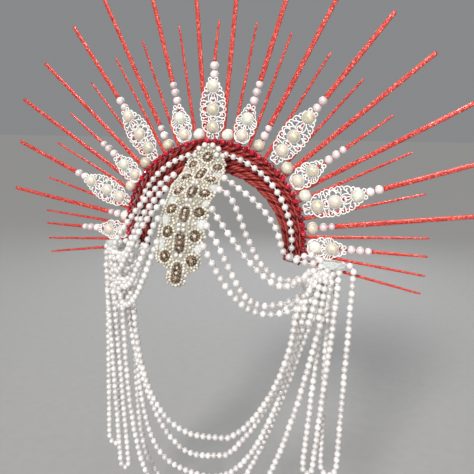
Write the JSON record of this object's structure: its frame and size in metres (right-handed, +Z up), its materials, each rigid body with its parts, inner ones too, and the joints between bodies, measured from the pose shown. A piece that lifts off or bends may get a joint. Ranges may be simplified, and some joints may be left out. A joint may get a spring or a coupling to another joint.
{
  "type": "halo crown headdress",
  "caption": "Folk halo crown: fan of red glitter spikes with pearl filigree leaves on a corded band, beaded forehead plaque, pearl swags and hanging loops.",
  "frame": {"origin": "middle of the underside of the band's top, where the headband bears on the crown of the head", "axes": "+Z up, -Y the way the wearer looks, +X to the wearer's left; the fan of spikes lies in the plane Y = 0"},
  "size_m": [0.5129, 0.1017, 0.6034],
  "materials": {
    "red_glitter": "coral-red glitter film on flat plastic rods",
    "satin_cord": "twisted dark-red satin cord",
    "red_glass": "faceted crimson glass, seen as solid colour",
    "pearl": "glossy white imitation pearl",
    "seed_pearl": "small cream seed pearls sewn close together",
    "bronze_stone": "faceted taupe-bronze beads",
    "white_enamel": "white enamelled filigree metal",
    "mesh_fabric": "pale open mesh that backs the beadwork"
  },
  "bodies": {
    "root": {"spike_0_centre": "red_glitter", "spikes_1_2_left": "red_glitter", "spikes_1_2_right": "red_glitter", "spike_3_left": "red_glitter", "spike_3_right": "red_glitter", "spike_4_left": "red_glitter", "spike_4_right": "red_glitter", "spike_5_left": "red_glitter", "spike_5_right": "red_glitter", "spike_6_left": "red_glitter", "spike_6_right": "red_glitter", "spike_7_left": "red_glitter", "spike_7_right": "red_glitter", "spikes_8_9_left": "red_glitter", "spikes_8_9_right": "red_glitter", "spike_10_left": "red_glitter", "spike_10_right": "red_glitter", "spikes_11_12_left": "red_glitter", "spikes_11_12_right": "red_glitter", "spike_13_left": "red_glitter", "spike_13_right": "red_glitter", "spike_14_left": "red_glitter", "spike_14_right": "red_glitter", "spike_15_left": "red_glitter", "spike_15_right": "red_glitter", "spike_16_left": "red_glitter", "spike_16_right": "red_glitter", "spike_17_left": "red_glitter", "spike_17_right": "red_glitter", "spike_18_left": "red_glitter", "spike_18_right": "red_glitter", "spike_19_left": "red_glitter", "spike_19_right": "red_glitter", "headband": "satin_cord", "red_bead_row": "red_glass", "band_pearl_row": "pearl", "forehead_plaque": "seed_pearl", "gathered_bundle_left": "pearl", "gathered_bundle_right": "pearl", "brow_string_1_left": "pearl", "brow_string_2_left": "pearl", "brow_string_3_left": "pearl", "brow_string_4_left": "pearl", "brow_string_5_left": "pearl", "brow_string_1_right": "pearl", "brow_string_2_right": "pearl", "brow_string_3_right": "pearl", "brow_string_4_right": "pearl", "brow_string_5_right": "pearl", "neck_loop_1": "pearl", "neck_loop_2": "pearl", "neck_loop_3": "pearl", "neck_loop_4": "pearl", "neck_loop_5": "pearl", "side_loop_outer_left": "pearl", "side_loop_inner_left": "pearl", "side_loop_outer_right": "pearl", "side_loop_inner_right": "pearl"}
  },
  "joints": []
}
